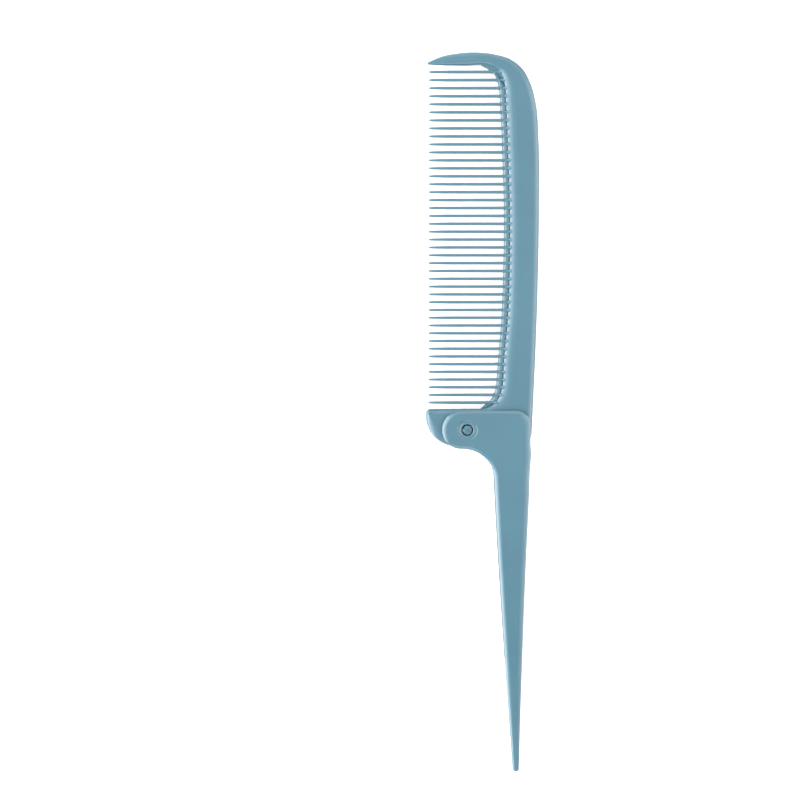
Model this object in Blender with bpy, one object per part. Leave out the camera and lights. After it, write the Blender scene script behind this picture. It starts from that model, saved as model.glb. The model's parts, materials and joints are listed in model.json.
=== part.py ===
"""Folding tail comb, lying on its back with the tail swung out.

Three moulded pieces: the comb head with its teeth, the slotted tail handle, and the hinge pin.
All outlines are drawn around the pin's axis, with +X to the spine, +Y to the comb's top and z = 0
at the middle of the thickness. place_at_pin() then moves each piece to its place on the ground.
Units are metres.
"""

import math

import bmesh
import bpy
from mathutils import Vector

# Thicknesses, measured across the flat comb
HEAD_THICK = 0.0034
WEB_THICK = 0.0016
RUNNING_GAP = 0.0003
HANDLE_THICK = 0.0070
TOOTH_SLOT_WIDTH = 0.0027

# Handle thickness along the tail: (y, half thickness), straight in between
TAIL_TAPER = (
    (-0.0120, 0.5 * HANDLE_THICK),
    (-0.0760, 0.0025),
    (-0.1082, 0.00115),
)
TAIL_TIP_Y = TAIL_TAPER[-1][0]

# Half thickness of the end tooth, from where it leaves the spine to its tip: (x, half thickness)
END_TOOTH_TAPER = ((0.0020, 0.5 * HEAD_THICK), (-0.0123, 0.0006))
END_TOOTH_ABOVE_Y = 0.1000

# Teeth: rows along the comb, and one tooth's half widths from tip to root
TOOTH_COUNT = 43
FIRST_TOOTH_Y = 0.10616
LAST_TOOTH_Y = 0.00803
TOOTH_TIP_X = -0.0118
TOOTH_SECTIONS = (
    # distance from the tip, half width across the row, half thickness
    (0.0000, 0.00027, 0.00025),
    (0.0004, 0.00035, 0.00042),
    (0.0030, 0.00042, 0.00065),
    (0.0060, 0.00045, 0.00080),
    (0.0110, 0.00043, 0.00095),
)
TOOTH_SIDES = 6
RIB_INTO_SPINE = 0.0009

# Rims: (how far in over the face, how deep, how far round their ellipse they go in degrees)
OUTER_RIM = (0.0019, 0.00095, 56.0)
EAR_RIM = (0.0026, 0.00090, 60.0)
STEP_CROWN = (0.0030, 0.00050, 35.0)
STEP_BEVEL = (0.0006, 0.00045)
BEVEL_BEND = (0.4, 0.5)
WEB_RIM = (0.0009, 0.00060, 55.0)
WEB_GROOVE = (0.0023, 0.00062)
WEB_END_RIM = (0.0005, 0.00020, 40.0)
HANDLE_RIM = (0.0015, 0.00070, 50.0)
BLOCK_RIM = (0.0021, 0.00072, 46.0)
TAIL_BACK_RIM = (0.0018, 0.00055, 42.0)
HANDLE_DRAFT = 0.00006
RIM_STEPS = 3

# How finely an outline is divided to find the room that its rims have
REACH_STEP = 0.0005

# Limits of a rim: its share of that room, its share of the half thickness, and its slope
RIM_ROOM = 0.7
RIM_DEEPEST = 0.85
RIM_STEEPEST = 2.0

# The block's wide rim starts between these two places along its top
BLOCK_RIM_FROM_X = -0.0010
BLOCK_RIM_TO_X = 0.0040

# The tail's outer rim grows gentler between these two heights
TAIL_BACK_X = 0.0158
TAIL_BACK_FROM_Y = -0.0150
TAIL_BACK_TO_Y = -0.0350

# The spine's long shoulder above the web: where it runs, and how softly it starts and ends
STEP_SIDE_X = 0.0150
STEP_FROM_Y = 0.0055
STEP_TO_Y = 0.1070
STEP_FADE = 0.0030

# Likewise the groove along the web
WEB_FROM_Y = 0.0060
WEB_TO_Y = 0.1065
WEB_FADE = 0.0022

# Curves of the comb head, each from the top end downwards
BACK = (
    (-0.0120, 0.10905),
    (-0.0080, 0.11070),
    (-0.0032, 0.11156),
    (0.0020, 0.11180),
    (0.0075, 0.11122),
    (0.0122, 0.10980),
    (0.0160, 0.10675),
    (0.0182, 0.10270),
    (0.0198, 0.09700),
    (0.0207, 0.08700),
    (0.0211, 0.06800),
    (0.0210, 0.04400),
    (0.0205, 0.02200),
    (0.01997, 0.0070),
)
GULLET = (
    (0.0036, 0.10800),
    (0.0060, 0.10675),
    (0.0078, 0.10500),
    (0.0087, 0.10230),
    (0.0093, 0.09650),
    (0.0101, 0.08200),
    (0.01075, 0.0650),
    (0.01070, 0.0500),
    (0.0102, 0.03300),
    (0.0093, 0.02000),
    (0.0089, 0.01450),
    (0.0085, 0.01160),
    (0.0078, 0.00980),
    (0.0070, 0.00860),
    (0.0060, 0.00780),
    (0.0037, 0.00590),
)
STEP = (
    (0.0044, 0.10825),
    (0.0072, 0.10740),
    (0.0093, 0.10590),
    (0.0104, 0.10320),
    (0.0110, 0.09700),
    (0.0118, 0.08200),
    (0.01245, 0.0650),
    (0.01255, 0.0500),
    (0.0121, 0.03300),
    (0.0111, 0.02100),
    (0.0105, 0.01200),
    (0.0099, 0.01000),
    (0.0090, 0.00855),
    (0.0076, 0.00735),
    (0.0060, 0.00645),
)

# Head below the teeth: the ear left of the pin, the bottom edge and the corner under the spine
EAR_CENTRE = (-0.0030, 0.0041)
EAR_RADIUS = 0.0095
EAR_TOP_Y = 0.0061
EAR_TOP_XS = (0.0042, -0.0020)
EAR_CORNER = 0.0012
BASE_BOTTOM_Y = EAR_CENTRE[1] - EAR_RADIUS
HEAD_CORNER = 0.0045
HEAD_CORNER_X = 0.0197
END_TOOTH_TIP = ((-0.01235, 0.10865), (-0.01225, 0.10840), (-0.0119, 0.10823))
END_TOOTH_EDGE = ((-0.0070, 0.1080), (-0.0012, 0.1080))

# Hidden part of the web, inside the spine and the base, anticlockwise from the base
WEB_BACKING = (
    (0.0065, 0.0030),
    (0.0160, 0.0030),
    (0.0178, 0.0400),
    (0.0178, 0.0800),
    (0.0160, 0.1030),
    (0.0045, 0.10960),
)

# Handle: the lobe round the pin, the block over the head's base, and the tail
LOBE_CENTRE = (-0.00175, 0.0000)
LOBE_RADIUS = 0.00588
BLOCK_TOP_Y = LOBE_CENTRE[1] + LOBE_RADIUS
BLOCK_TOP_X = 0.0080
BLOCK_CORNER = 0.0045
BLOCK_RIGHT_X = 0.01925
NECK_FILLET = 0.0097
TAIL_LEFT = (
    (0.0084, -0.0160),
    (0.0095, -0.0345),
    (0.0117, -0.0660),
    (0.0148, -0.1066),
)
TAIL_RIGHT = (
    (0.01925, 0.0000),
    (0.01925, -0.0050),
    (0.0194, -0.0066),
    (0.0191, -0.0125),
    (0.01895, -0.0200),
    (0.0183, -0.0390),
    (0.0176, -0.0660),
    (0.0171, -0.0930),
    (0.0170, -0.1066),
)

# Slot between the cheeks: the ear's swing, the open sides, and the floor under the tooth tips
SLOT_SWEEP = 0.0142
SLOT_OPEN_X = 0.0260
SLOT_OPEN_Y = 0.0120
TOOTH_SLOT_X = 0.0123
TOOTH_SLOT_TOP_Y = -0.0070
TOOTH_SLOT_END_Y = -0.0800
SHOULDER_Y = BASE_BOTTOM_Y - RUNNING_GAP

# Hinge
PIN_RADIUS = 0.001335
PIN_RECESS = 0.0002
PIN_CHAMFER = 0.00015
HEAD_BORE = PIN_RADIUS + 0.00010
CHEEK_BORE = 0.00176
BORE_RIM = 0.0021
RIM_DEPTH = 0.0003
RING_RADIUS = 0.0031
RING_DEPTH = 0.0001
ROUND_SIDES = 32

COMB_BLUE = (0.19, 0.36, 0.46, 1.0)


def clear_scene():
    for old in list(bpy.data.objects):
        bpy.data.objects.remove(old, do_unlink=True)


def plastic(name, shade):
    """Satin blue-grey moulded plastic, a little lighter or darker by shade."""
    material = bpy.data.materials.new(name)
    material.use_nodes = True
    shader = material.node_tree.nodes["Principled BSDF"]
    colour = [channel * shade for channel in COMB_BLUE[:3]] + [1.0]
    shader.inputs["Base Color"].default_value = colour
    shader.inputs["Roughness"].default_value = 0.42
    shader.inputs["Metallic"].default_value = 0.0
    material.diffuse_color = colour
    return material


def arc(centre, radius, start, end, count):
    """Points on a circle from angle start to angle end, in degrees."""
    points = []
    for i in range(count + 1):
        angle = math.radians(start + (end - start) * i / count)
        points.append((centre[0] + radius * math.cos(angle), centre[1] + radius * math.sin(angle)))
    return points


def smooth_curve(points, per_span):
    """A curve through the points, with its tangents taken from their neighbours."""
    knots = [Vector(p) for p in points]
    spans = [(b - a).length for a, b in zip(knots, knots[1:])]
    slopes = [(b - a) / span for a, b, span in zip(knots, knots[1:], spans)]
    tangents = [slopes[0]]
    for i in range(1, len(knots) - 1):
        weight = spans[i - 1] / (spans[i - 1] + spans[i])
        tangents.append(slopes[i - 1].lerp(slopes[i], weight))
    tangents.append(slopes[-1])
    curve = []
    for i, span in enumerate(spans):
        for k in range(per_span):
            t = k / per_span
            curve.append(
                (2 * t**3 - 3 * t**2 + 1) * knots[i]
                + (t**3 - 2 * t**2 + t) * span * tangents[i]
                + (3 * t**2 - 2 * t**3) * knots[i + 1]
                + (t**3 - t**2) * span * tangents[i + 1]
            )
    curve.append(knots[-1])
    return [(p.x, p.y) for p in curve]


def refined(outline, longest):
    """The same outline with its long straight edges divided."""
    points = []
    for a, b in zip(outline, outline[1:] + outline[:1]):
        start = Vector(a)
        end = Vector(b)
        count = max(1, math.ceil((end - start).length / longest))
        for k in range(count):
            points.append(tuple(start.lerp(end, k / count)))
    return points


def x_at(curve, y):
    """Where a falling curve crosses the height y."""
    for upper, lower in zip(curve, curve[1:]):
        if lower[1] <= y <= upper[1]:
            part = (upper[1] - y) / (upper[1] - lower[1])
            return upper[0] + part * (lower[0] - upper[0])
    raise ValueError("the curve doesn't reach this height")


def along(table, position):
    """Value at a position in a table of (position, value), straight between rows, level outside."""
    rows = sorted(table)
    if position <= rows[0][0]:
        return rows[0][1]
    for (low, low_value), (high, high_value) in zip(rows, rows[1:]):
        if position <= high:
            return low_value + (high_value - low_value) * (position - low) / (high - low)
    return rows[-1][1]


def inward_normals(outline):
    """Unit normals to the left of an anticlockwise outline, so pointing into it."""
    normals = []
    for i, point in enumerate(outline):
        before = Vector(point) - Vector(outline[i - 1])
        after = Vector(outline[(i + 1) % len(outline)]) - Vector(point)
        tangent = (before.normalized() + after.normalized()).normalized()
        normals.append(Vector((-tangent.y, tangent.x)))
    return normals


def reach_inside(outline, normals):
    """Radius of the largest circle that touches each point from inside and crosses no other."""
    corners = [Vector(p) for p in refined(outline, REACH_STEP)]
    reaches = []
    for start, normal in zip(map(Vector, outline), normals):
        reach = 1.0
        for corner in corners:
            away = corner - start
            ahead = away.dot(normal)
            if ahead > 1e-9:
                reach = min(reach, away.length_squared / (2 * ahead))
        reaches.append(reach)
    return reaches


def rim_profile(inset, depth, sweep, steps=RIM_STEPS):
    """(inset, depth below the face) from the flat face out to the side wall, along part of an ellipse."""
    end = math.radians(sweep)
    profile = []
    for k in range(steps + 1):
        angle = end * k / steps
        outward = math.sin(angle) / math.sin(end)
        downward = (1 - math.cos(angle)) / (1 - math.cos(end))
        profile.append((inset * (1 - outward), depth * downward))
    return profile


def blended(first, second, share):
    """A rim between two others, all with the same number of points."""
    mixed = []
    for (inset_a, depth_a), (inset_b, depth_b) in zip(first, second):
        mixed.append((inset_a + share * (inset_b - inset_a), depth_a + share * (depth_b - depth_a)))
    return mixed


def plate(outline, half_thickness, profile_at, draft=0.0, cuts=()):
    """Closed plate with rounded rims, the same outline on both faces.

    half_thickness(x, y) and profile_at(x, y) give its thickness and its rim. Each cut is a
    (point, direction) where the thickness changes slope, so that every face stays flat.
    """
    normals = inward_normals(outline)
    reaches = reach_inside(outline, normals)
    tallest = max(half_thickness(x, y) for x, y in outline)
    rings = []
    for (x, y), normal, reach in zip(outline, normals, reaches):
        profile = profile_at(x, y)
        widest = max(inset for inset, _ in profile)
        deepest = max(depth for _, depth in profile)
        narrow = min(1.0, max(0.0, RIM_ROOM * reach - draft) / widest)
        steep = RIM_STEEPEST * narrow * widest / deepest
        flat = min(1.0, RIM_DEEPEST * half_thickness(x, y) / deepest, steep)
        rings.append(([(draft + inset * narrow, depth * flat) for inset, depth in profile], normal))

    mesh = bmesh.new()
    levels = []
    for side in (1, -1):
        stack = []
        for k in range(len(rings[0][0])):
            loop = []
            for (x, y), (offsets, normal) in zip(outline, rings):
                inset, depth = offsets[k]
                spot = (x + normal.x * inset, y + normal.y * inset, side * (tallest - depth))
                loop.append(mesh.verts.new(spot))
            stack.append(loop)
        levels.append(stack)
    middle = []
    if draft:
        middle = [[mesh.verts.new((x, y, 0.0)) for x, y in outline]]
    loops = levels[0] + middle + levels[1][::-1]
    for upper, lower in zip(loops, loops[1:]):
        for i in range(len(outline)):
            j = (i + 1) % len(outline)
            mesh.faces.new((upper[i], lower[i], lower[j], upper[j]))
    mesh.faces.new(loops[0])
    mesh.faces.new(loops[-1][::-1])

    mesh.normal_update()
    for point, direction in cuts:
        parts = mesh.verts[:] + mesh.edges[:] + mesh.faces[:]
        bmesh.ops.bisect_plane(mesh, geom=parts, dist=1e-7, plane_co=point, plane_no=direction)
    for vert in mesh.verts:
        if abs(vert.co.z) > 1e-9:
            depth = tallest - abs(vert.co.z)
            vert.co.z = math.copysign(half_thickness(vert.co.x, vert.co.y) - depth, vert.co.z)
    bmesh.ops.recalc_face_normals(mesh, faces=mesh.faces)
    return mesh


def prism(outline, half_height):
    """Straight extrusion of an outline, centred on z = 0."""
    mesh = bmesh.new()
    face = mesh.faces.new([mesh.verts.new((x, y, -half_height)) for x, y in outline])
    top = bmesh.ops.extrude_face_region(mesh, geom=[face])
    raised = [item for item in top["geom"] if isinstance(item, bmesh.types.BMVert)]
    bmesh.ops.translate(mesh, verts=raised, vec=(0.0, 0.0, 2 * half_height))
    bmesh.ops.recalc_face_normals(mesh, faces=mesh.faces)
    return mesh


def turned(profile, sides):
    """Closed solid turned round the z axis from (radius, z) pairs that run from bottom to top."""
    mesh = bmesh.new()
    loops = []
    for radius, z in profile:
        points = arc((0.0, 0.0), radius, 0.0, 360.0, sides)[:-1]
        loops.append([mesh.verts.new((x, y, z)) for x, y in points])
    for lower, upper in zip(loops, loops[1:]):
        for i in range(sides):
            j = (i + 1) % sides
            mesh.faces.new((lower[i], lower[j], upper[j], upper[i]))
    mesh.faces.new(loops[0][::-1])
    mesh.faces.new(loops[-1])
    bmesh.ops.recalc_face_normals(mesh, faces=mesh.faces)
    return mesh


def add_tooth(mesh, y, sections, sides):
    """One tooth lofted along x, through (x, half width, half thickness) sections."""
    loops = []
    for x, half_width, half_depth in sections:
        loop = []
        for i in range(sides):
            angle = math.radians(360.0 * (i + 0.5) / sides + 90.0)
            spot = (x, y + half_width * math.sin(angle), half_depth * math.cos(angle))
            loop.append(mesh.verts.new(spot))
        loops.append(loop)
    for left, right in zip(loops, loops[1:]):
        for i in range(sides):
            j = (i + 1) % sides
            mesh.faces.new((left[i], left[j], right[j], right[i]))
    mesh.faces.new(loops[0][::-1])
    mesh.faces.new(loops[-1])


def tooth_rows():
    """Height of each tooth above the pin, from the top down."""
    pitch = (FIRST_TOOTH_Y - LAST_TOOTH_Y) / (TOOTH_COUNT - 1)
    return [FIRST_TOOTH_Y - i * pitch for i in range(TOOTH_COUNT)]


def head_outline():
    """Spine, end tooth and base of the comb head, anticlockwise from the end tooth's tip."""
    ear_left = EAR_CENTRE[0] - EAR_RADIUS
    ear_corner = (ear_left + EAR_CORNER, EAR_TOP_Y - EAR_CORNER)
    head_corner = (HEAD_CORNER_X - HEAD_CORNER, BASE_BOTTOM_Y + HEAD_CORNER)
    tooth = list(END_TOOTH_TIP + END_TOOTH_EDGE)
    ear_top = [(x, EAR_TOP_Y) for x in EAR_TOP_XS]
    corner = arc(ear_corner, EAR_CORNER, 90, 180, 4)
    ear = arc(EAR_CENTRE, EAR_RADIUS, 180, 270, 10)
    base = arc(head_corner, HEAD_CORNER, 270, 360, 6)
    step = smooth_curve(STEP, 3)
    back = smooth_curve(BACK[::-1], 3)
    return tooth + step + ear_top + corner + ear + base + back


def head_half_thickness(x, y):
    if y > END_TOOTH_ABOVE_Y:
        return along(END_TOOTH_TAPER, x)
    return 0.5 * HEAD_THICK


def step_profile():
    """The spine's side towards the teeth: a long gentle crown, then a bevel down to the web."""
    width, fall = STEP_BEVEL
    crown = [(inset + width, depth) for inset, depth in rim_profile(*STEP_CROWN, RIM_STEPS - 2)]
    foot = crown[-1][1]
    return crown + [(BEVEL_BEND[0] * width, foot + BEVEL_BEND[1] * fall), (0.0, foot + fall)]


def head_rim(x, y):
    """The rim beside the web is a long gentle shoulder, the ear's is wide, the others are tighter."""
    if x > STEP_SIDE_X:
        return rim_profile(*OUTER_RIM)
    if y < EAR_TOP_Y:
        return rim_profile(*EAR_RIM)
    inside = min(y - STEP_FROM_Y, STEP_TO_Y - y) / STEP_FADE
    share = min(1.0, max(0.0, inside))
    return blended(rim_profile(*OUTER_RIM), step_profile(), share)


def web_outline():
    """Thin strip that carries the teeth, from the gullet's edge to well inside the spine."""
    return refined(smooth_curve(GULLET, 2) + list(WEB_BACKING), 0.0040)


def web_rim(x, y):
    """A bevel along the gullet up to a ridge and a groove at the spine's foot, plainer at both ends."""
    inside = min(y - WEB_FROM_Y, WEB_TO_Y - y) / WEB_FADE
    share = min(1.0, max(0.0, inside))
    plain = [(WEB_GROOVE[0], 0.0)] + rim_profile(*WEB_END_RIM)
    return blended(plain, [WEB_GROOVE] + rim_profile(*WEB_RIM), share)


def head_teeth():
    gullet = smooth_curve(GULLET, 4)
    step = smooth_curve(STEP, 4)
    root_width, root_depth = TOOTH_SECTIONS[-1][1:]
    mesh = bmesh.new()
    for y in tooth_rows():
        sections = [(TOOTH_TIP_X + run, width, depth) for run, width, depth in TOOTH_SECTIONS]
        sections.append((x_at(gullet, y), root_width, root_depth))
        sections.append((x_at(step, y) + RIB_INTO_SPINE, root_width, root_depth))
        add_tooth(mesh, y, sections, TOOTH_SIDES)
    bmesh.ops.recalc_face_normals(mesh, faces=mesh.faces)
    return mesh


def neck_fillet():
    """Arc that joins the lobe to the tail's inner edge, touching both."""
    top = Vector(TAIL_LEFT[0])
    down = (Vector(TAIL_LEFT[1]) - top).normalized()
    outward = Vector((down.y, -down.x))
    lobe = Vector(LOBE_CENTRE)
    reach = LOBE_RADIUS + NECK_FILLET
    aside = (top + outward * NECK_FILLET - lobe).dot(outward)
    drop = math.sqrt(reach**2 - aside**2)
    centre = lobe + outward * aside + down * drop
    to_lobe = lobe - centre
    start = math.degrees(math.atan2(to_lobe.y, to_lobe.x))
    end = math.degrees(math.atan2(-outward.y, -outward.x))
    return centre, start, end


def handle_outline():
    """Lobe, neck, tail and block of the handle, anticlockwise from the top of the lobe."""
    centre, start, end = neck_fillet()
    lobe = arc(LOBE_CENTRE, LOBE_RADIUS, 90, start + 180, 14)
    neck = arc(centre, NECK_FILLET, start, end, 9)[1:]
    left = smooth_curve(TAIL_LEFT, 9)[:-1]
    tip_radius = 0.5 * (TAIL_RIGHT[-1][0] - TAIL_LEFT[-1][0])
    tip_centre = (TAIL_LEFT[-1][0] + tip_radius, TAIL_TIP_Y + tip_radius)
    tip = arc(tip_centre, tip_radius, 184, 356, 8)
    right = smooth_curve(TAIL_RIGHT[::-1], 6)[1:-1]
    corner_centre = (BLOCK_RIGHT_X - BLOCK_CORNER, BLOCK_TOP_Y - BLOCK_CORNER)
    corner = arc(corner_centre, BLOCK_CORNER, 0, 90, 7)
    top = [(BLOCK_TOP_X, BLOCK_TOP_Y)]
    return lobe + neck + left + tip + right + corner + top


def handle_half_thickness(_, y):
    return along(TAIL_TAPER, y)


def handle_rim(x, y):
    """Tight round the lobe and down the tail's inner edge, wide on the block, gentle on its back."""
    if y > 0.0:
        share = (x - BLOCK_RIM_FROM_X) / (BLOCK_RIM_TO_X - BLOCK_RIM_FROM_X)
        share = min(1.0, max(0.0, share))
        return blended(rim_profile(*HANDLE_RIM), rim_profile(*BLOCK_RIM), share)
    if x < TAIL_BACK_X:
        return rim_profile(*HANDLE_RIM)
    share = (TAIL_BACK_FROM_Y - y) / (TAIL_BACK_FROM_Y - TAIL_BACK_TO_Y)
    share = min(1.0, max(0.0, share))
    return blended(rim_profile(*BLOCK_RIM), rim_profile(*TAIL_BACK_RIM), share)


def plate_slot_outline():
    """Room between the cheeks for the head's base, and for the ear's swing about the pin."""
    side = math.degrees(math.asin(-SHOULDER_Y / SLOT_SWEEP))
    swing = arc((0.0, 0.0), SLOT_SWEEP, 180 + side, 360 - side, 24)
    right, left, top = SLOT_OPEN_X, -SLOT_OPEN_X, SLOT_OPEN_Y
    return [(right, SHOULDER_Y), (right, top), (left, top), (left, SHOULDER_Y)] + swing


def tooth_slot_outline():
    """Room between the cheeks for the tooth tips when the tail is folded in."""
    return [
        (0.0, TOOTH_SLOT_TOP_Y),
        (0.0, TOOTH_SLOT_END_Y),
        (TOOTH_SLOT_X, TOOTH_SLOT_END_Y),
        (TOOTH_SLOT_X, TOOTH_SLOT_TOP_Y),
    ]


def cheek_bore_profile():
    """Hole through both cheeks, with a chamfered rim and a shallow ring sunk round it."""
    face = 0.5 * HANDLE_THICK
    side = [
        (CHEEK_BORE, face - RING_DEPTH - RIM_DEPTH),
        (BORE_RIM, face - RING_DEPTH),
        (RING_RADIUS, face - RING_DEPTH),
        (RING_RADIUS + RING_DEPTH, face + RING_DEPTH),
    ]
    return [(radius, -z) for radius, z in side[::-1]] + side


def pin_profile():
    end = 0.5 * HANDLE_THICK - PIN_RECESS
    side = [(PIN_RADIUS, end - PIN_CHAMFER), (PIN_RADIUS - PIN_CHAMFER, end)]
    return [(radius, -z) for radius, z in side[::-1]] + side


def pin_place():
    """Where the pin goes so that the whole part stands centred on its bounding box's bottom."""
    head = head_outline()
    handle = handle_outline()
    xs = [x for x, _ in head + handle]
    ys = [y for _, y in head + handle]
    return (-0.5 * (min(xs) + max(xs)), -0.5 * (min(ys) + max(ys)), 0.5 * HANDLE_THICK)


def place_at_pin(name, mesh, material=None):
    """Object with its origin on the pin's axis. Without a material it is a hidden helper."""
    data = bpy.data.meshes.new(name)
    mesh.to_mesh(data)
    mesh.free()
    piece = bpy.data.objects.new(name, data)
    bpy.context.scene.collection.objects.link(piece)
    piece.location = pin_place()
    if material:
        data.materials.append(material)
        data.shade_smooth()
        data.set_sharp_from_angle(angle=math.radians(40))
    else:
        piece.hide_render = True
        piece.display_type = "WIRE"
    return piece


def combine(piece, helper, operation):
    modifier = piece.modifiers.new(helper.name, "BOOLEAN")
    modifier.object = helper
    modifier.operation = operation
    modifier.solver = "EXACT"


def build_head():
    taper_starts = ((END_TOOTH_TAPER[0][0], 0.0, 0.0), (1.0, 0.0, 0.0))
    body = plate(head_outline(), head_half_thickness, head_rim, cuts=[taper_starts])
    head = place_at_pin("comb_head", body, plastic("head_plastic", 1.0))
    web = plate(web_outline(), lambda x, y: 0.5 * WEB_THICK, web_rim)
    combine(head, place_at_pin("web_shape", web), "UNION")
    combine(head, place_at_pin("teeth_shape", head_teeth()), "UNION")
    bore = turned([(HEAD_BORE, -HEAD_THICK), (HEAD_BORE, HEAD_THICK)], ROUND_SIDES)
    combine(head, place_at_pin("head_bore", bore), "DIFFERENCE")
    return head


def build_handle():
    slopes = [((0.0, y, 0.0), (0.0, 1.0, 0.0)) for y, _ in TAIL_TAPER[:-1]]
    body = plate(handle_outline(), handle_half_thickness, handle_rim, HANDLE_DRAFT, slopes)
    handle = place_at_pin("handle", body, plastic("handle_plastic", 1.02))
    base_slot = prism(plate_slot_outline(), 0.5 * HEAD_THICK + RUNNING_GAP)
    combine(handle, place_at_pin("base_slot", base_slot), "DIFFERENCE")
    tooth_slot = prism(tooth_slot_outline(), 0.5 * TOOTH_SLOT_WIDTH)
    combine(handle, place_at_pin("tooth_slot", tooth_slot), "DIFFERENCE")
    bore = turned(cheek_bore_profile(), ROUND_SIDES)
    combine(handle, place_at_pin("cheek_bore", bore), "DIFFERENCE")
    return handle


def build_pin():
    return place_at_pin("hinge_pin", turned(pin_profile(), ROUND_SIDES), plastic("pin_plastic", 0.97))


def main():
    clear_scene()
    build_head()
    build_handle()
    build_pin()


main()
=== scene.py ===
"""Looks of the folding tail comb: finely rounded pieces over the frame, plastic, floor, light, camera."""

import json
import math

import bmesh
import bpy
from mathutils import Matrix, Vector


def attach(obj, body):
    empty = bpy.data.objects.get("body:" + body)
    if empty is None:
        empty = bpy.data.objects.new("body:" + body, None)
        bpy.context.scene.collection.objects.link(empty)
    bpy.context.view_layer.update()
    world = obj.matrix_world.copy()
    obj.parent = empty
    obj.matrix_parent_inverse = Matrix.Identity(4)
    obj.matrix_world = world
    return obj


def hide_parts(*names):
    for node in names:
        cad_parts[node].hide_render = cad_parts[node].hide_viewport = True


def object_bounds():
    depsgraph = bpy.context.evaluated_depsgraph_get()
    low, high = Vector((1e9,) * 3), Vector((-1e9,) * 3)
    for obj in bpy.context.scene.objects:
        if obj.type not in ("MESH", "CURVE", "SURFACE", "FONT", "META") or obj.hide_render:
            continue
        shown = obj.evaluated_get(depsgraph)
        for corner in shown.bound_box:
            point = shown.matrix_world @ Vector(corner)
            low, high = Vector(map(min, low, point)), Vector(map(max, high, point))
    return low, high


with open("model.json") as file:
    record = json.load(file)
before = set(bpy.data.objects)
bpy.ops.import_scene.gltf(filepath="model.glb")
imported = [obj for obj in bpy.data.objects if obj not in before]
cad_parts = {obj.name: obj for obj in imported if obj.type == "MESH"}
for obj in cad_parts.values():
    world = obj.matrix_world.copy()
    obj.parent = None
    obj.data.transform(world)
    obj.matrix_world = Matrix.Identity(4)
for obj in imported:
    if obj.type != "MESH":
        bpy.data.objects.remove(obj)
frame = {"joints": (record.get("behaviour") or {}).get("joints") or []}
CAD_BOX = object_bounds()

# The hinge pin's axis, from the frame; every outline below is drawn around it
HINGE = next(joint for joint in frame["joints"] if joint["name"] == "handle_fold")
PIN = Vector(HINGE["pos_m"])

# Thicknesses
HEAD_THICK = 0.0034
WEB_THICK = 0.0016
RUNNING_GAP = 0.0003
HANDLE_THICK = 0.0070
TOOTH_SLOT_WIDTH = 0.0027

# Handle thickness along the tail: (y, half thickness)
TAIL_TAPER = (
    (-0.0120, 0.5 * HANDLE_THICK),
    (-0.0760, 0.0025),
    (-0.1082, 0.00115),
)
TAIL_TIP_Y = TAIL_TAPER[-1][0]

# Half thickness of the end tooth: (x, half thickness)
END_TOOTH_TAPER = ((0.0020, 0.5 * HEAD_THICK), (-0.0123, 0.0006))
END_TOOTH_ABOVE_Y = 0.1000

# Teeth
TOOTH_COUNT = 43
FIRST_TOOTH_Y = 0.10616
LAST_TOOTH_Y = 0.00803
TOOTH_TIP_X = -0.0118
TOOTH_SECTIONS = (
    # distance from the tip, half width across the row, half thickness
    (0.0000, 0.00017, 0.00012),
    (0.00003, 0.00024, 0.00020),
    (0.0001, 0.00029, 0.00028),
    (0.0003, 0.00034, 0.00038),
    (0.0010, 0.00038, 0.00050),
    (0.0030, 0.00042, 0.00065),
    (0.0060, 0.00045, 0.00080),
    (0.0110, 0.00043, 0.00095),
)
TOOTH_SIDES = 16
TOOTH_FLATNESS = 2.8

# A tooth's rib across the web, with a small fillet where it leaves the gullet and where it meets the
# spine: (which curve, distance from it, half width, half thickness)
RIB_SECTIONS = (
    ("gullet", -0.0005, 0.00042, 0.00095),
    ("gullet", -0.00015, 0.00046, 0.00095),
    ("gullet", 0.0001, 0.00056, 0.00095),
    ("gullet", 0.0003, 0.00043, 0.00096),
    ("step", -0.0007, 0.00041, 0.00098),
    ("step", -0.0004, 0.00047, 0.00102),
    ("step", -0.0001, 0.00062, 0.00108),
    ("step", 0.0002, 0.00084, 0.00116),
    ("step", 0.0005, 0.00080, 0.00124),
    ("step", 0.0010, 0.00030, 0.00134),
)

# Rims: (how far in over the face, how deep, how far round their ellipse they go in degrees)
OUTER_RIM = (0.0019, 0.00095, 56.0)
EAR_RIM = (0.0028, 0.00130, 70.0)
STEP_CROWN = (0.0030, 0.00050, 35.0)
STEP_BEVEL = (0.0006, 0.00045)
BEVEL_BEND = (0.4, 0.5)
WEB_RIM = (0.0009, 0.00060, 55.0)
WEB_GROOVE = (0.0023, 0.00062)
WEB_END_RIM = (0.0005, 0.00020, 40.0)
HANDLE_RIM = (0.0015, 0.00070, 50.0)
BLOCK_RIM = (0.0021, 0.00072, 46.0)
TAIL_BACK_RIM = (0.0018, 0.00055, 42.0)
HANDLE_DRAFT = 0.00006
RIM_STEPS = 8

# How finely an outline is divided to find the room that its rims have
REACH_STEP = 0.0005

# Limits of a rim: its share of that room, its share of the half thickness, and its slope
RIM_ROOM = 0.7
RIM_DEEPEST = 0.85
RIM_STEEPEST = 2.0

# The block's wide rim starts between these two places along its top
BLOCK_RIM_FROM_X = -0.0010
BLOCK_RIM_TO_X = 0.0040

# Right of this line is the tail's outer rim, which grows gentler between these two heights
TAIL_BACK_X = 0.0158
TAIL_BACK_FROM_Y = -0.0150
TAIL_BACK_TO_Y = -0.0350

# The spine's long shoulder above the web: where it runs, and how softly it starts and ends
STEP_SIDE_X = 0.0150
STEP_FROM_Y = 0.0055
STEP_TO_Y = 0.1070
STEP_FADE = 0.0030

# Likewise the groove along the web
WEB_FROM_Y = 0.0060
WEB_TO_Y = 0.1065
WEB_FADE = 0.0022

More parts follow.
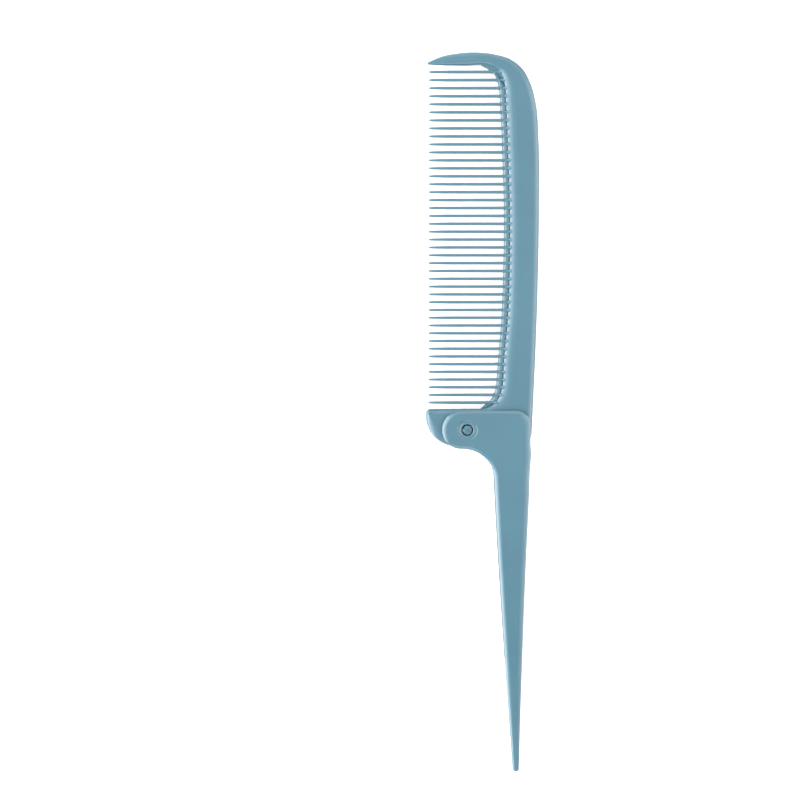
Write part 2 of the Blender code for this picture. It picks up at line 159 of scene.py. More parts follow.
# Curves of the comb head, each from the top end downwards
BACK = (
    (-0.0120, 0.10905),
    (-0.0080, 0.11070),
    (-0.0032, 0.11156),
    (0.0020, 0.11180),
    (0.0075, 0.11122),
    (0.0122, 0.10980),
    (0.0160, 0.10675),
    (0.0182, 0.10270),
    (0.0198, 0.09700),
    (0.0207, 0.08700),
    (0.0211, 0.06800),
    (0.0210, 0.04400),
    (0.0205, 0.02200),
    (0.01997, 0.0070),
)
GULLET = (
    (0.0036, 0.10800),
    (0.0060, 0.10675),
    (0.0078, 0.10500),
    (0.0087, 0.10230),
    (0.0093, 0.09650),
    (0.0101, 0.08200),
    (0.01075, 0.0650),
    (0.01070, 0.0500),
    (0.0102, 0.03300),
    (0.0093, 0.02000),
    (0.0089, 0.01450),
    (0.0085, 0.01160),
    (0.0078, 0.00980),
    (0.0070, 0.00860),
    (0.0060, 0.00780),
    (0.0037, 0.00590),
)
STEP = (
    (0.0044, 0.10825),
    (0.0072, 0.10740),
    (0.0093, 0.10590),
    (0.0104, 0.10320),
    (0.0110, 0.09700),
    (0.0118, 0.08200),
    (0.01245, 0.0650),
    (0.01255, 0.0500),
    (0.0121, 0.03300),
    (0.0111, 0.02100),
    (0.0105, 0.01200),
    (0.0099, 0.01000),
    (0.0090, 0.00855),
    (0.0076, 0.00735),
    (0.0060, 0.00645),
)

# Head below the teeth
EAR_CENTRE = (-0.0030, 0.0041)
EAR_RADIUS = 0.0095
EAR_TOP_Y = 0.0061
EAR_TOP_XS = (0.0042, -0.0020)
EAR_CORNER = 0.0012
BASE_BOTTOM_Y = EAR_CENTRE[1] - EAR_RADIUS
HEAD_CORNER = 0.0045
HEAD_CORNER_X = 0.0197
END_TOOTH_TIP = ((-0.01235, 0.10865), (-0.01225, 0.10840), (-0.0119, 0.10823))
END_TOOTH_EDGE = ((-0.0070, 0.1080), (-0.0012, 0.1080))
WEB_BACKING = (
    (0.0065, 0.0030),
    (0.0160, 0.0030),
    (0.0178, 0.0400),
    (0.0178, 0.0800),
    (0.0160, 0.1030),
    (0.0045, 0.10960),
)

# Handle
LOBE_CENTRE = (-0.00175, 0.0000)
LOBE_RADIUS = 0.00588
BLOCK_TOP_Y = LOBE_CENTRE[1] + LOBE_RADIUS
BLOCK_CORNER = 0.0045
BLOCK_RIGHT_X = 0.01925
NECK_FILLET = 0.0097
TAIL_LEFT = (
    (0.0084, -0.0160),
    (0.0095, -0.0345),
    (0.0117, -0.0660),
    (0.0148, -0.1066),
)
TAIL_RIGHT = (
    (0.01925, 0.0000),
    (0.01925, -0.0050),
    (0.0194, -0.0066),
    (0.0191, -0.0125),
    (0.01895, -0.0200),
    (0.0183, -0.0390),
    (0.0176, -0.0660),
    (0.0171, -0.0930),
    (0.0170, -0.1066),
)

# Degrees that the tail's sides lean in where its round tip takes over
TIP_LEAN = 4

# Slot between the cheeks
SLOT_SWEEP = 0.0142
SLOT_OPEN_X = 0.0260
SLOT_OPEN_Y = 0.0120
TOOTH_SLOT_X = 0.0123
TOOTH_SLOT_TOP_Y = -0.0070
TOOTH_SLOT_END_Y = -0.0800
SHOULDER_Y = BASE_BOTTOM_Y - RUNNING_GAP

# Hinge
PIN_RADIUS = 0.001335
PIN_RECESS = 0.0002
PIN_ROUNDING = 0.00006
PIN_CLEARANCE = 0.00010
HEAD_BORE = PIN_RADIUS + PIN_CLEARANCE
CHEEK_BORE = 0.00176
BORE_RIM = 0.0021
RIM_DEPTH = 0.0003
RING_RADIUS = 0.0031
RING_DEPTH = 0.00014
LIP_WIDTH = 0.00025
LIP_DROP = 0.00002
ROUND_SIDES = 96
ROUNDING_STEPS = 5

# The dish in the pin's end: (share of the pin's radius, depth)
PIN_DISH = ((0.6, 0.00002), (0.2, 0.00005))

# From the bore's rim outwards: (radius it starts from, lip widths further out, lip drops down,
# ring depths down)
RING_PROFILE = (
    (BORE_RIM, 0.5, 1.0, 0.3),
    (BORE_RIM, 1.0, 0.0, 1.0),
    (RING_RADIUS, -0.8, 0.0, 1.0),
    (RING_RADIUS, -0.3, 0.0, 0.5),
    (RING_RADIUS, 0.0, 1.0, 0.0),
    (RING_RADIUS, 0.3, 0.0, 0.5),
    (RING_RADIUS, 0.8, 0.0, -0.5),
)

# Distance between the points of a fine outline
OUTLINE_STEP = 0.0006

# Lengths below which a point counts as level, and as lying on a cut
LEVEL = 1e-9
CUT_REACH = 1e-7

# Edges sharper than this angle stay sharp
SHARP_ANGLE = math.radians(35)

# Camera: fitted to the photograph, as a tilt back from straight down and a distance
CAMERA_TILT = math.radians(6.13)
CAMERA_DISTANCE = 0.3815
CAMERA_LENS = 56.57
CAMERA_SENSOR = 36.0
CAMERA_NEAR = 0.01
CENTRE_FROM_PIN = Vector((-0.020325, 0.008794, 0.0))

# Soft boxes: name, heading from +X towards +Y, elevation, distance, width, height, radiance
SOFT_BOXES = (
    ("left_low_box", 180.0, 13.0, 0.8, 1.7, 0.32, 8.0),
    ("left_high_box", 170.0, 45.0, 0.8, 1.2, 0.54, 3.6),
    ("right_low_box", 0.0, 21.0, 0.8, 0.9, 0.40, 4.0),
    ("right_high_box", 0.0, 52.0, 0.8, 0.9, 0.44, 1.8),
    ("corner_box", 49.0, 30.0, 0.8, 0.5, 0.66, 1.4),
    ("top_box", 90.0, 30.0, 0.8, 0.6, 0.66, 1.6),
    ("bottom_box", 270.0, 30.0, 0.8, 0.6, 0.66, 2.2),
    ("overhead_box", 90.0, 88.0, 1.0, 0.8, 0.8, 0.65),
)
ROOM_LIGHT = 0.10
PAPER_GLOW = 0.6

# Plastic: its colour, and (tint, scale of the flow clouds, their strength) on the mouldings and the pin
COMB_BLUE = (0.0527, 0.1455, 0.1965)
MOULDED_FINISH = (1.0, 90.0, 0.035)
PIN_FINISH = (0.92, 1300.0, 0.60)
CLOUD_ENDS = (0.3, 0.7)
CLOUD_DETAIL = 3.0
CLOUD_ROUGHNESS = 0.55
GRAIN_SCALE = 900.0
ROUGHNESS_RANGE = (0.27, 0.35)
SKIN_SCALE = 3500.0
SKIN_STRENGTH = 0.10
SKIN_DEPTH = 0.00003
PLASTIC_IOR = 1.60
PLASTIC_SPECULAR = 0.75

# Floor and backdrop
PAPER_TOOTH_SCALE = 400.0
PAPER_GREYS = (0.90, 0.92)
PAPER_ROUGHNESS = 0.9
PAPER_SPECULAR = 0.1
BACKDROP_GREY = 0.93
FLOOR_HALF_WIDTH = 3.0
FLOOR_Z = -0.00005
WHITE = (1.0, 1.0, 1.0, 1.0)


def arc(centre, radius, start, end):
    """Points on a circle from angle start to angle end, in degrees."""
    count = max(4, round(math.radians(abs(end - start)) * radius / OUTLINE_STEP) * 2)
    points = []
    for i in range(count + 1):
        angle = math.radians(start + (end - start) * i / count)
        points.append((centre[0] + radius * math.cos(angle), centre[1] + radius * math.sin(angle)))
    return points


def smooth_curve(points):
    """A curve through the points, with its tangents taken from their neighbours."""
    knots = [Vector(p) for p in points]
    spans = [(b - a).length for a, b in zip(knots, knots[1:])]
    slopes = [(b - a) / span for a, b, span in zip(knots, knots[1:], spans)]
    tangents = [slopes[0]]
    for i in range(1, len(knots) - 1):
        weight = spans[i - 1] / (spans[i - 1] + spans[i])
        tangents.append(slopes[i - 1].lerp(slopes[i], weight))
    tangents.append(slopes[-1])
    curve = []
    for i, span in enumerate(spans):
        count = max(2, round(span / OUTLINE_STEP))
        for k in range(count):
            t = k / count
            curve.append(
                (2 * t**3 - 3 * t**2 + 1) * knots[i]
                + (t**3 - 2 * t**2 + t) * span * tangents[i]
                + (3 * t**2 - 2 * t**3) * knots[i + 1]
                + (t**3 - t**2) * span * tangents[i + 1]
            )
    curve.append(knots[-1])
    return [(p.x, p.y) for p in curve]


def refined(outline, longest):
    """The same outline with its long straight edges divided."""
    points = []
    for a, b in zip(outline, outline[1:] + outline[:1]):
        start = Vector(a)
        end = Vector(b)
        count = max(1, math.ceil((end - start).length / longest))
        for k in range(count):
            points.append(tuple(start.lerp(end, k / count)))
    return points


def x_at(curve, y):
    """Where a falling curve crosses the height y."""
    for upper, lower in zip(curve, curve[1:]):
        if lower[1] <= y <= upper[1]:
            part = (upper[1] - y) / (upper[1] - lower[1])
            return upper[0] + part * (lower[0] - upper[0])
    raise ValueError("the curve doesn't reach this height")


def along(table, position):
    """Value at a position in a table of (position, value), straight between rows, level outside."""
    rows = sorted(table)
    if position <= rows[0][0]:
        return rows[0][1]
    for (low, low_value), (high, high_value) in zip(rows, rows[1:]):
        if position <= high:
            return low_value + (high_value - low_value) * (position - low) / (high - low)
    return rows[-1][1]


def inward_normals(outline):
    """Unit normals to the left of an anticlockwise outline, so pointing into it."""
    normals = []
    for i, point in enumerate(outline):
        before = Vector(point) - Vector(outline[i - 1])
        after = Vector(outline[(i + 1) % len(outline)]) - Vector(point)
        tangent = (before.normalized() + after.normalized()).normalized()
        normals.append(Vector((-tangent.y, tangent.x)))
    return normals


def reach_inside(outline, normals):
    """Radius of the largest circle that touches each point from inside and crosses no other."""
    corners = [Vector(p) for p in refined(outline, REACH_STEP)]
    reaches = []
    for start, normal in zip(map(Vector, outline), normals):
        reach = 1.0
        for corner in corners:
            away = corner - start
            ahead = away.dot(normal)
            if ahead > LEVEL:
                reach = min(reach, away.length_squared / (2 * ahead))
        reaches.append(reach)
    return reaches


def rim_profile(inset, depth, sweep, steps=RIM_STEPS):
    """(inset, depth below the face) from the flat face out to the side wall, along part of an ellipse."""
    end = math.radians(sweep)
    profile = []
    for k in range(steps + 1):
        angle = end * k / steps
        outward = math.sin(angle) / math.sin(end)
        downward = (1 - math.cos(angle)) / (1 - math.cos(end))
        profile.append((inset * (1 - outward), depth * downward))
    return profile


def blended(first, second, share):
    """A rim between two others of as many points: the first up to share 0, the second from share 1."""
    share = min(1.0, max(0.0, share))
    mixed = []
    for (inset_a, depth_a), (inset_b, depth_b) in zip(first, second):
        mixed.append((inset_a + share * (inset_b - inset_a), depth_a + share * (depth_b - depth_a)))
    return mixed


def plate(outline, half_thickness, profile_at, draft=0.0, cuts=()):
    """Closed plate with rounded rims, the same outline on both faces.

    half_thickness(x, y) and profile_at(x, y) give its thickness and its rim. Each cut is a
    (point, direction) where the thickness changes slope, so that every face stays flat.
    """
    normals = inward_normals(outline)
    reaches = reach_inside(outline, normals)
    tallest = max(half_thickness(x, y) for x, y in outline)
    rings = []
    for (x, y), normal, reach in zip(outline, normals, reaches):
        profile = profile_at(x, y)
        widest = max(inset for inset, _ in profile)
        deepest = max(depth for _, depth in profile)
        narrow = min(1.0, max(0.0, RIM_ROOM * reach - draft) / widest)
        steep = RIM_STEEPEST * narrow * widest / deepest
        flat = min(1.0, RIM_DEEPEST * half_thickness(x, y) / deepest, steep)
        rings.append(([(draft + inset * narrow, depth * flat) for inset, depth in profile], normal))

    mesh = bmesh.new()
    levels = []
    for side in (1, -1):
        stack = []
        for k in range(len(rings[0][0])):
            loop = []
            for (x, y), (offsets, normal) in zip(outline, rings):
                inset, depth = offsets[k]
                spot = (x + normal.x * inset, y + normal.y * inset, side * (tallest - depth))
                loop.append(mesh.verts.new(spot))
            stack.append(loop)
        levels.append(stack)
    middle = []
    if draft:
        middle = [[mesh.verts.new((x, y, 0.0)) for x, y in outline]]
    loops = levels[0] + middle + levels[1][::-1]
    for upper, lower in zip(loops, loops[1:]):
        for i in range(len(outline)):
            j = (i + 1) % len(outline)
            mesh.faces.new((upper[i], lower[i], lower[j], upper[j]))
    mesh.faces.new(loops[0])
    mesh.faces.new(loops[-1][::-1])

    mesh.normal_update()
    for point, direction in cuts:
        parts = mesh.verts[:] + mesh.edges[:] + mesh.faces[:]
        bmesh.ops.bisect_plane(mesh, geom=parts, dist=CUT_REACH, plane_co=point, plane_no=direction)
    for vert in mesh.verts:
        if abs(vert.co.z) > LEVEL:
            depth = tallest - abs(vert.co.z)
            vert.co.z = math.copysign(half_thickness(vert.co.x, vert.co.y) - depth, vert.co.z)
    bmesh.ops.recalc_face_normals(mesh, faces=mesh.faces)
    return mesh


def prism(outline, half_height):
    """Straight extrusion of an outline, centred on z = 0."""
    mesh = bmesh.new()
    face = mesh.faces.new([mesh.verts.new((x, y, -half_height)) for x, y in outline])
    top = bmesh.ops.extrude_face_region(mesh, geom=[face])
    raised = [item for item in top["geom"] if isinstance(item, bmesh.types.BMVert)]
    bmesh.ops.translate(mesh, verts=raised, vec=(0.0, 0.0, 2 * half_height))
    bmesh.ops.recalc_face_normals(mesh, faces=mesh.faces)
    return mesh


def turned(profile, sides):
    """Closed solid turned round the z axis from (radius, z) pairs that run from bottom to top."""
    mesh = bmesh.new()
    loops = []
    for radius, z in profile:
        loop = []
        for i in range(sides):
            angle = 2 * math.pi * i / sides
            loop.append(mesh.verts.new((radius * math.cos(angle), radius * math.sin(angle), z)))
        loops.append(loop)
    for lower, upper in zip(loops, loops[1:]):
        for i in range(sides):
            j = (i + 1) % sides
            mesh.faces.new((lower[i], lower[j], upper[j], upper[i]))
    mesh.faces.new(loops[0][::-1])
    mesh.faces.new(loops[-1])
    bmesh.ops.recalc_face_normals(mesh, faces=mesh.faces)
    return mesh


def flattened(wave):
    """Pushes a sine or cosine outwards, which turns an ellipse into a rounded box."""
    return math.copysign(abs(wave) ** (2 / TOOTH_FLATNESS), wave)


def add_tooth(mesh, y, sections):
    """One tooth lofted along x, through (x, half width, half thickness) sections."""
    loops = []
    for x, half_width, half_depth in sections:
        loop = []
        for i in range(TOOTH_SIDES):
            angle = 2 * math.pi * (i + 0.5) / TOOTH_SIDES
            across = half_width * flattened(math.cos(angle))
            spot = (x, y + across, half_depth * flattened(math.sin(angle)))
            loop.append(mesh.verts.new(spot))
        loops.append(loop)
    for left, right in zip(loops, loops[1:]):
        for i in range(TOOTH_SIDES):
            j = (i + 1) % TOOTH_SIDES
            mesh.faces.new((left[i], left[j], right[j], right[i]))
    mesh.faces.new(loops[0][::-1])
    mesh.faces.new(loops[-1])


def head_outline():
    """Spine, end tooth and base of the comb head, anticlockwise from the end tooth's tip."""
    ear_left = EAR_CENTRE[0] - EAR_RADIUS
    ear_corner = (ear_left + EAR_CORNER, EAR_TOP_Y - EAR_CORNER)
    head_corner = (HEAD_CORNER_X - HEAD_CORNER, BASE_BOTTOM_Y + HEAD_CORNER)
    tooth = list(END_TOOTH_TIP + END_TOOTH_EDGE)
    ear_top = [(x, EAR_TOP_Y) for x in EAR_TOP_XS]
    corner = arc(ear_corner, EAR_CORNER, 90, 180)
    ear = arc(EAR_CENTRE, EAR_RADIUS, 180, 270)
    base = arc(head_corner, HEAD_CORNER, 270, 360)
    step = smooth_curve(STEP)
    back = smooth_curve(BACK[::-1])
    return refined(tooth + step + ear_top + corner + ear + base + back, 3 * OUTLINE_STEP)


def head_half_thickness(x, y):
    """The head is level, and its end tooth thins towards its tip."""
    if y > END_TOOTH_ABOVE_Y:
        return along(END_TOOTH_TAPER, x)
    return 0.5 * HEAD_THICK


def step_profile():
    """The spine's side towards the teeth: a long gentle crown, then a bevel down to the web.

    The bevel's two points stand for two of the crown's steps, so that it blends with other rims.
    """
    width, fall = STEP_BEVEL
    crown = [(inset + width, depth) for inset, depth in rim_profile(*STEP_CROWN, RIM_STEPS - 2)]
    foot = crown[-1][1]
    return crown + [(BEVEL_BEND[0] * width, foot + BEVEL_BEND[1] * fall), (0.0, foot + fall)]


def head_rim(x, y):
    """The rim beside the web is a long gentle shoulder, the ear's is wide, the others are tighter."""
    if x > STEP_SIDE_X:
        return rim_profile(*OUTER_RIM)
    if y < EAR_TOP_Y:
        return rim_profile(*EAR_RIM)
    share = min(y - STEP_FROM_Y, STEP_TO_Y - y) / STEP_FADE
    return blended(rim_profile(*OUTER_RIM), step_profile(), share)


def web_outline():
    """Thin strip that carries the teeth, from the gullet's edge to well inside the spine."""
    return refined(smooth_curve(GULLET) + list(WEB_BACKING), 2 * OUTLINE_STEP)


def web_rim(x, y):
    """A bevel along the gullet up to a ridge and a groove at the spine's foot, plainer at both ends."""
    share = min(y - WEB_FROM_Y, WEB_TO_Y - y) / WEB_FADE
    plain = [(WEB_GROOVE[0], 0.0)] + rim_profile(*WEB_END_RIM)
    return blended(plain, [WEB_GROOVE] + rim_profile(*WEB_RIM), share)


def head_teeth():
    """All the teeth of the row, each with its rib across the web."""
    curves = {"gullet": smooth_curve(GULLET), "step": smooth_curve(STEP)}
    pitch = (FIRST_TOOTH_Y - LAST_TOOTH_Y) / (TOOTH_COUNT - 1)
    mesh = bmesh.new()
    for row in range(TOOTH_COUNT):
        y = FIRST_TOOTH_Y - row * pitch
        sections = [(TOOTH_TIP_X + run, width, depth) for run, width, depth in TOOTH_SECTIONS]
        for curve, run, width, depth in RIB_SECTIONS:
            sections.append((x_at(curves[curve], y) + run, width, depth))
        add_tooth(mesh, y, sections)
    bmesh.ops.recalc_face_normals(mesh, faces=mesh.faces)
    return mesh


def neck_fillet():
    """Arc that joins the lobe to the tail's inner edge, touching both."""
    top = Vector(TAIL_LEFT[0])
    down = (Vector(TAIL_LEFT[1]) - top).normalized()
    outward = Vector((down.y, -down.x))
    lobe = Vector(LOBE_CENTRE)
    reach = LOBE_RADIUS + NECK_FILLET
    aside = (top + outward * NECK_FILLET - lobe).dot(outward)
    drop = math.sqrt(reach**2 - aside**2)
    centre = lobe + outward * aside + down * drop
    to_lobe = lobe - centre
    start = math.degrees(math.atan2(to_lobe.y, to_lobe.x))
    end = math.degrees(math.atan2(-outward.y, -outward.x))
    return centre, start, end


def handle_outline():
    """Lobe, neck, tail and block of the handle, anticlockwise from the top of the lobe."""
    centre, start, end = neck_fillet()
    lobe = arc(LOBE_CENTRE, LOBE_RADIUS, 90, start + 180)
    neck = arc(centre, NECK_FILLET, start, end)[1:]
    left = smooth_curve(TAIL_LEFT)[:-1]
    tip_radius = 0.5 * (TAIL_RIGHT[-1][0] - TAIL_LEFT[-1][0])
    tip_centre = (TAIL_LEFT[-1][0] + tip_radius, TAIL_TIP_Y + tip_radius)
    tip = arc(tip_centre, tip_radius, 180 + TIP_LEAN, 360 - TIP_LEAN)
    right = smooth_curve(TAIL_RIGHT[::-1])[1:-1]
    corner_centre = (BLOCK_RIGHT_X - BLOCK_CORNER, BLOCK_TOP_Y - BLOCK_CORNER)
    corner = arc(corner_centre, BLOCK_CORNER, 0, 90)
    return refined(lobe + neck + left + tip + right + corner, 2 * OUTLINE_STEP)


def handle_half_thickness(_, y):
    """The handle is level at the hinge and thins down the tail."""
    return along(TAIL_TAPER, y)


def handle_rim(x, y):
    """Tight round the lobe and down the tail's inner edge, wide on the block, gentle on its back."""
    if y > 0.0:
        share = (x - BLOCK_RIM_FROM_X) / (BLOCK_RIM_TO_X - BLOCK_RIM_FROM_X)
        return blended(rim_profile(*HANDLE_RIM), rim_profile(*BLOCK_RIM), share)
    if x < TAIL_BACK_X:
        return rim_profile(*HANDLE_RIM)
    share = (TAIL_BACK_FROM_Y - y) / (TAIL_BACK_FROM_Y - TAIL_BACK_TO_Y)
    return blended(rim_profile(*BLOCK_RIM), rim_profile(*TAIL_BACK_RIM), share)


def plate_slot_outline():
    """Room between the cheeks for the head's base, and for the ear's swing about the pin."""
    side = math.degrees(math.asin(-SHOULDER_Y / SLOT_SWEEP))
    swing = arc((0.0, 0.0), SLOT_SWEEP, 180 + side, 360 - side)
    right, left, top = SLOT_OPEN_X, -SLOT_OPEN_X, SLOT_OPEN_Y
    return [(right, SHOULDER_Y), (right, top), (left, top), (left, SHOULDER_Y)] + swing


def tooth_slot_outline():
    """Room between the cheeks for the tooth tips when the tail is folded in."""
    return [
        (0.0, TOOTH_SLOT_TOP_Y),
        (0.0, TOOTH_SLOT_END_Y),
        (TOOTH_SLOT_X, TOOTH_SLOT_END_Y),
        (TOOTH_SLOT_X, TOOTH_SLOT_TOP_Y),
    ]


def cheek_bore_profile():
    """Hole through both cheeks, with a rounded rim, and a shallow ring with a fine bead round it."""
    face = 0.5 * HANDLE_THICK
    floor = face - RING_DEPTH
    side = [(CHEEK_BORE, floor - RIM_DEPTH)]
    for k in range(1, ROUNDING_STEPS + 1):
        angle = 0.5 * math.pi * k / ROUNDING_STEPS
        flare = (BORE_RIM - CHEEK_BORE) * (1 - math.cos(angle))
        side.append((CHEEK_BORE + flare, face - LIP_DROP - RIM_DEPTH * (1 - math.sin(angle))))
    for radius, widths, drops, depths in RING_PROFILE:
        side.append((radius + widths * LIP_WIDTH, face - drops * LIP_DROP - depths * RING_DEPTH))
    return [(radius, -z) for radius, z in side[::-1]] + side


def pin_profile():
    """Plain pin with rounded ends and a slight dish in each end face."""
    end = 0.5 * HANDLE_THICK - PIN_RECESS
    side = []
    for k in range(ROUNDING_STEPS + 1):
        angle = 0.5 * math.pi * k / ROUNDING_STEPS
        radius = PIN_RADIUS - PIN_ROUNDING * (1 - math.cos(angle))
        side.append((radius, end - PIN_ROUNDING * (1 - math.sin(angle))))
    for share, dip in PIN_DISH:
        side.append((share * PIN_RADIUS, end - dip))
    return [(radius, -z) for radius, z in side[::-1]] + side


def linked(name, mesh):
    """A new object at the pin's place, made from a finished mesh."""
    data = bpy.data.meshes.new(name)
    mesh.to_mesh(data)
    mesh.free()
    piece = bpy.data.objects.new(name, data)
    bpy.context.scene.collection.objects.link(piece)
    piece.location = PIN
    return piece


def keep_in_box(solid):
    """Pulls points that a finer curve puts a hair outside the solids' box back to its sides."""
    low = Vector(CAD_BOX[0]) - PIN
    high = Vector(CAD_BOX[1]) - PIN
    for vert in solid.vertices:
        vert.co = [min(max(at, least), most) for at, least, most in zip(vert.co, low, high)]


def combine(piece, helper, operation):
    """Joins or cuts a piece with a helper solid."""
    modifier = piece.modifiers.new(helper.name, "BOOLEAN")
    modifier.object = helper
    modifier.operation = operation
    modifier.solver = "EXACT"


def settle(piece, helpers=()):
    """Applies the piece's modifiers, removes its helpers, and sets its shading."""
    bpy.context.view_layer.update()
    graph = bpy.context.evaluated_depsgraph_get()
    solid = bpy.data.meshes.new_from_object(piece.evaluated_get(graph))
    piece.modifiers.clear()
    piece.data = solid
    for helper in helpers:
        bpy.data.objects.remove(helper, do_unlink=True)
    keep_in_box(solid)
    solid.shade_smooth()
    solid.set_sharp_from_angle(angle=SHARP_ANGLE)
    weighted = piece.modifiers.new("face_weighted_normals", "WEIGHTED_NORMAL")
    weighted.mode = "FACE_AREA_WITH_ANGLE"
    weighted.keep_sharp = True


def build_head():
    """Spine, web, teeth and base in one body, bored for the pin."""
    taper_start = ((END_TOOTH_TAPER[0][0], 0.0, 0.0), (1.0, 0.0, 0.0))
    body = plate(head_outline(), head_half_thickness, head_rim, cuts=[taper_start])
    head = linked("comb_head_moulding", body)
    web_mesh = plate(web_outline(), lambda x, y: 0.5 * WEB_THICK, web_rim)
    web = linked("web_shape", web_mesh)
    teeth = linked("teeth_shape", head_teeth())
    bore = linked("head_bore", turned([(HEAD_BORE, -HEAD_THICK), (HEAD_BORE, HEAD_THICK)], ROUND_SIDES))
    combine(head, web, "UNION")
    combine(head, teeth, "UNION")
    combine(head, bore, "DIFFERENCE")
    settle(head, [web, teeth, bore])
    return head


def build_handle():
    """Handle with its slots and the bore through both cheeks."""
    slopes = [((0.0, y, 0.0), (0.0, 1.0, 0.0)) for y, _ in TAIL_TAPER[:-1]]
    body = plate(handle_outline(), handle_half_thickness, handle_rim, HANDLE_DRAFT, slopes)
    handle = linked("handle_moulding", body)
    base_slot = linked("base_slot", prism(plate_slot_outline(), 0.5 * HEAD_THICK + RUNNING_GAP))
    tooth_slot = linked("tooth_slot", prism(tooth_slot_outline(), 0.5 * TOOTH_SLOT_WIDTH))
    bore = linked("cheek_bore", turned(cheek_bore_profile(), ROUND_SIDES))
    combine(handle, base_slot, "DIFFERENCE")
    combine(handle, tooth_slot, "DIFFERENCE")
    combine(handle, bore, "DIFFERENCE")
    settle(handle, [base_slot, tooth_slot, bore])
    return handle


def build_pin():
    """Pin through the head's base and both cheeks."""
    pin = linked("hinge_pin_turned", turned(pin_profile(), ROUND_SIDES))
    settle(pin)
    return pin


def link(tree, out_socket, in_socket):
    """Joins two sockets of a node tree."""
    tree.links.new(out_socket, in_socket)


def noise(tree, place, scale, detail=2.0, roughness=0.5):
    """The value of a noise texture over a piece's own coordinates."""
    texture = tree.nodes.new("ShaderNodeTexNoise")
    texture.inputs["Scale"].default_value = scale
    texture.inputs["Detail"].default_value = detail
    texture.inputs["Roughness"].default_value = roughness
    link(tree, place.outputs["Object"], texture.inputs["Vector"])
    return texture.outputs["Fac"]


def satin_plastic(name, tint, cloud_scale, clouding):
    """Moulded satin plastic: flow clouding, a fine grain in the gloss, and a very fine skin."""
    material = bpy.data.materials.new(name)
    material.use_nodes = True
    tree = material.node_tree
    shader = tree.nodes["Principled BSDF"]
    place = tree.nodes.new("ShaderNodeTexCoord")

    colour = tree.nodes.new("ShaderNodeValToRGB")
    shares = (1 - clouding, 1 + clouding)
    for element, end, share in zip(colour.color_ramp.elements, CLOUD_ENDS, shares):
        element.position = end
        element.color = [channel * tint * share for channel in COMB_BLUE] + [1.0]
    clouds = noise(tree, place, cloud_scale, CLOUD_DETAIL, CLOUD_ROUGHNESS)
    link(tree, clouds, colour.inputs["Fac"])
    link(tree, colour.outputs["Color"], shader.inputs["Base Color"])

    gloss = tree.nodes.new("ShaderNodeMapRange")
    gloss.inputs["To Min"].default_value = ROUGHNESS_RANGE[0]
    gloss.inputs["To Max"].default_value = ROUGHNESS_RANGE[1]
    link(tree, noise(tree, place, GRAIN_SCALE), gloss.inputs["Value"])
    link(tree, gloss.outputs["Result"], shader.inputs["Roughness"])

    bump = tree.nodes.new("ShaderNodeBump")
    bump.inputs["Strength"].default_value = SKIN_STRENGTH
    bump.inputs["Distance"].default_value = SKIN_DEPTH
    link(tree, noise(tree, place, SKIN_SCALE), bump.inputs["Height"])
    link(tree, bump.outputs["Normal"], shader.inputs["Normal"])
    shader.inputs["IOR"].default_value = PLASTIC_IOR
    shader.inputs["Specular IOR Level"].default_value = PLASTIC_SPECULAR
    return material


def floor_material():
    """Matt white studio paper with a barely visible tooth."""
    material = bpy.data.materials.new("studio_paper")
    material.use_nodes = True
    tree = material.node_tree
    shader = tree.nodes["Principled BSDF"]
    place = tree.nodes.new("ShaderNodeTexCoord")
    colour = tree.nodes.new("ShaderNodeValToRGB")
    for element, grey in zip(colour.color_ramp.elements, PAPER_GREYS):
        element.color = (grey, grey, grey, 1.0)
    link(tree, noise(tree, place, PAPER_TOOTH_SCALE), colour.inputs["Fac"])
    link(tree, colour.outputs["Color"], shader.inputs["Base Color"])
    shader.inputs["Roughness"].default_value = PAPER_ROUGHNESS
    shader.inputs["Specular IOR Level"].default_value = PAPER_SPECULAR
    shader.inputs["Emission Color"].default_value = WHITE
    shader.inputs["Emission Strength"].default_value = PAPER_GLOW
    return material


def build_floor():
    """Sheet of paper just below the comb."""
    mesh = bmesh.new()
    bmesh.ops.create_grid(mesh, x_segments=4, y_segments=4, size=FLOOR_HALF_WIDTH)
    data = bpy.data.meshes.new("studio_floor")
    mesh.to_mesh(data)
    mesh.free()
    floor = bpy.data.objects.new("studio_floor", data)
    bpy.context.scene.collection.objects.link(floor)
    floor.location = (0.0, 0.0, FLOOR_Z)
    data.materials.append(floor_material())
    floor.visible_diffuse = False


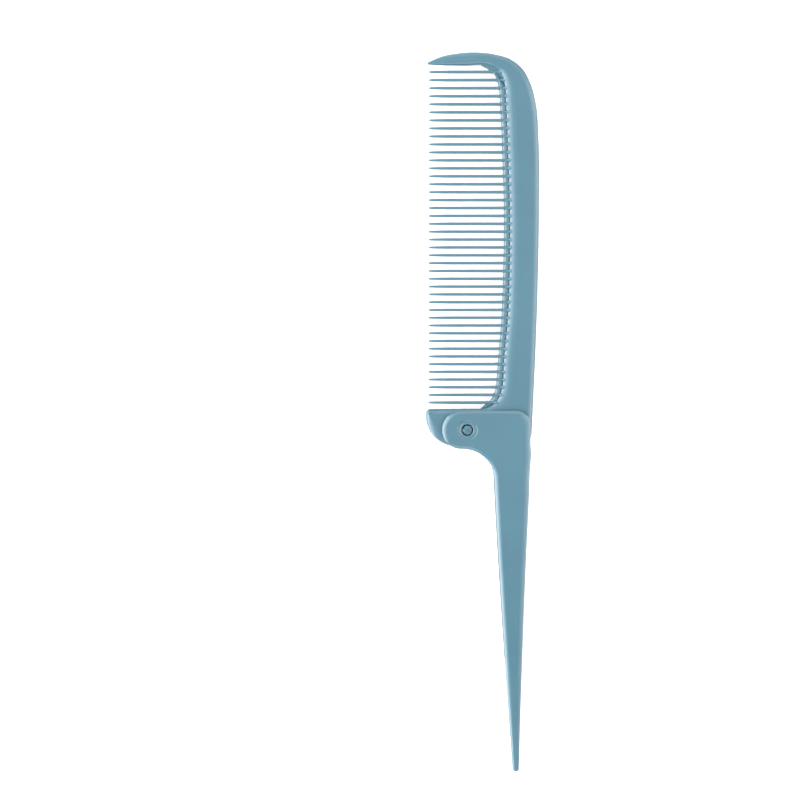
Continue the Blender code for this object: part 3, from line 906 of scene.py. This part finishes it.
def soft_box(name, heading, elevation, distance, width, height, radiance):
    """Box light on a dome round the part, hidden from the camera itself."""
    light = bpy.data.lights.new(name, "AREA")
    light.shape = "RECTANGLE"
    light.size = width
    light.size_y = height
    light.energy = radiance * math.pi * width * height
    lamp = bpy.data.objects.new(name, light)
    bpy.context.scene.collection.objects.link(lamp)
    turn = math.radians(heading)
    rise = math.radians(elevation)
    way = Vector((math.cos(rise) * math.cos(turn), math.cos(rise) * math.sin(turn), math.sin(rise)))
    lamp.location = distance * way
    lamp.rotation_euler = (-way).to_track_quat("-Z", "Y").to_euler()
    lamp.visible_camera = False


def build_light():
    """Dim room, a dim box overhead, and a ring of tall soft boxes round the part."""
    world = bpy.data.worlds.new("studio_world")
    world.use_nodes = True
    tree = world.node_tree
    room = tree.nodes["Background"]
    room.inputs["Color"].default_value = WHITE
    room.inputs["Strength"].default_value = ROOM_LIGHT
    backdrop = tree.nodes.new("ShaderNodeBackground")
    backdrop.inputs["Color"].default_value = (BACKDROP_GREY, BACKDROP_GREY, BACKDROP_GREY, 1.0)
    seen = tree.nodes.new("ShaderNodeLightPath")
    either = tree.nodes.new("ShaderNodeMixShader")
    link(tree, seen.outputs["Is Camera Ray"], either.inputs["Fac"])
    link(tree, room.outputs["Background"], either.inputs[1])
    link(tree, backdrop.outputs["Background"], either.inputs[2])
    link(tree, either.outputs["Shader"], tree.nodes["World Output"].inputs["Surface"])
    bpy.context.scene.world = world
    for box in SOFT_BOXES:
        soft_box(*box)


def build_camera():
    """Camera above the comb, tilted back as the photograph's."""
    target = PIN + CENTRE_FROM_PIN
    camera = bpy.data.objects.new("camera", bpy.data.cameras.new("camera"))
    bpy.context.scene.collection.objects.link(camera)
    back = Vector((0.0, math.sin(CAMERA_TILT), math.cos(CAMERA_TILT)))
    camera.location = target + CAMERA_DISTANCE * back
    camera.rotation_euler = (-CAMERA_TILT, 0.0, 0.0)
    camera.data.sensor_width = CAMERA_SENSOR
    camera.data.lens = CAMERA_LENS
    camera.data.clip_start = CAMERA_NEAR
    bpy.context.scene.camera = camera


def dress(piece, body, node, slot, finish):
    """Gives a piece its plastic, named after its slot, and its body, and hides the solid that it stands
    for.
    """
    piece.data.materials.clear()
    piece.data.materials.append(satin_plastic(slot, *finish))
    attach(piece, body)
    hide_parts(node)


bpy.context.scene.view_settings.view_transform = "Standard"
build_camera()
build_light()
build_floor()
dress(build_head(), "head", "comb_head", "comb_plastic", MOULDED_FINISH)
dress(build_handle(), "handle", "handle", "handle_plastic", MOULDED_FINISH)
dress(build_pin(), "head", "hinge_pin", "pin_plastic", PIN_FINISH)
